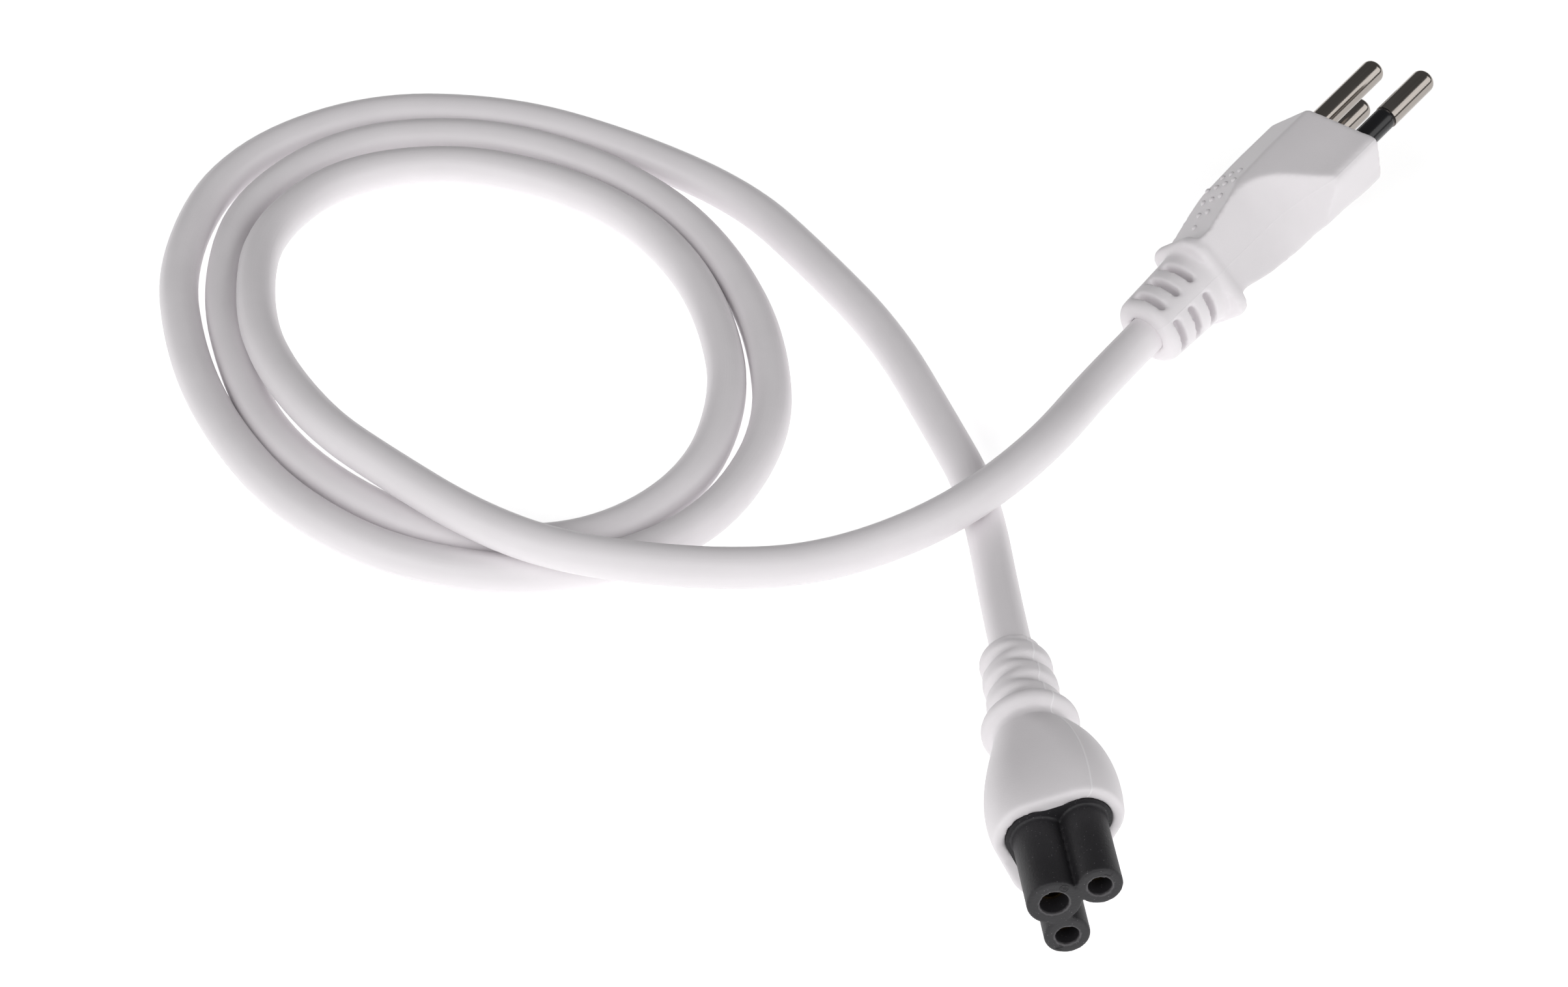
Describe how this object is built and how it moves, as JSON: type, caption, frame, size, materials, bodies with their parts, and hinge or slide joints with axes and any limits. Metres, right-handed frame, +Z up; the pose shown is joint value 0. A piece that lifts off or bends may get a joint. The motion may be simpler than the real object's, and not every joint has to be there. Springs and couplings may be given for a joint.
{
  "type": "cloverleaf power cord",
  "caption": "White mains lead in a loose flat coil, with a moulded round-pin plug at one end and a black-fronted cloverleaf appliance connector at the other, to power laptop adapters.",
  "frame": {"origin": "on the table, under the middle of the box round the plug and the connector", "axes": "+Z up from the table, +Y from the connector towards the plug, +X to the right of the coil"},
  "size_m": [0.2059, 0.1847, 0.026],
  "materials": {
    "white_moulding": "fine matte, soft PVC moulding",
    "white_flex": "satin PVC sheath",
    "plated_pin": "bright nickel plate",
    "black_sleeve": "gloss black",
    "black_insert": "satin black, fine speckle",
    "bridge": "plain moulded",
    "contact_brass": "plain",
    "brown_core": "plain insulation",
    "blue_core": "plain insulation",
    "green_yellow_core": "two-colour insulation"
  },
  "bodies": {
    "root": {"plug_body": "white_moulding", "pin_bridge": "bridge", "line_pin": "plated_pin", "neutral_pin": "plated_pin", "earth_pin": "plated_pin", "line_pin_sleeve": "black_sleeve", "neutral_pin_sleeve": "black_sleeve", "plug_brown_core": "brown_core", "plug_blue_core": "blue_core", "plug_green_yellow_core": "green_yellow_core", "connector_body": "white_moulding", "contact_insert": "black_insert", "line_contact": "contact_brass", "neutral_contact": "contact_brass", "earth_contact": "contact_brass", "connector_brown_core": "brown_core", "connector_blue_core": "blue_core", "connector_green_yellow_core": "green_yellow_core", "cord_plug_tail": "white_flex", "cord_coil": "white_flex", "cord_connector_tail": "white_flex"}
  },
  "joints": []
}
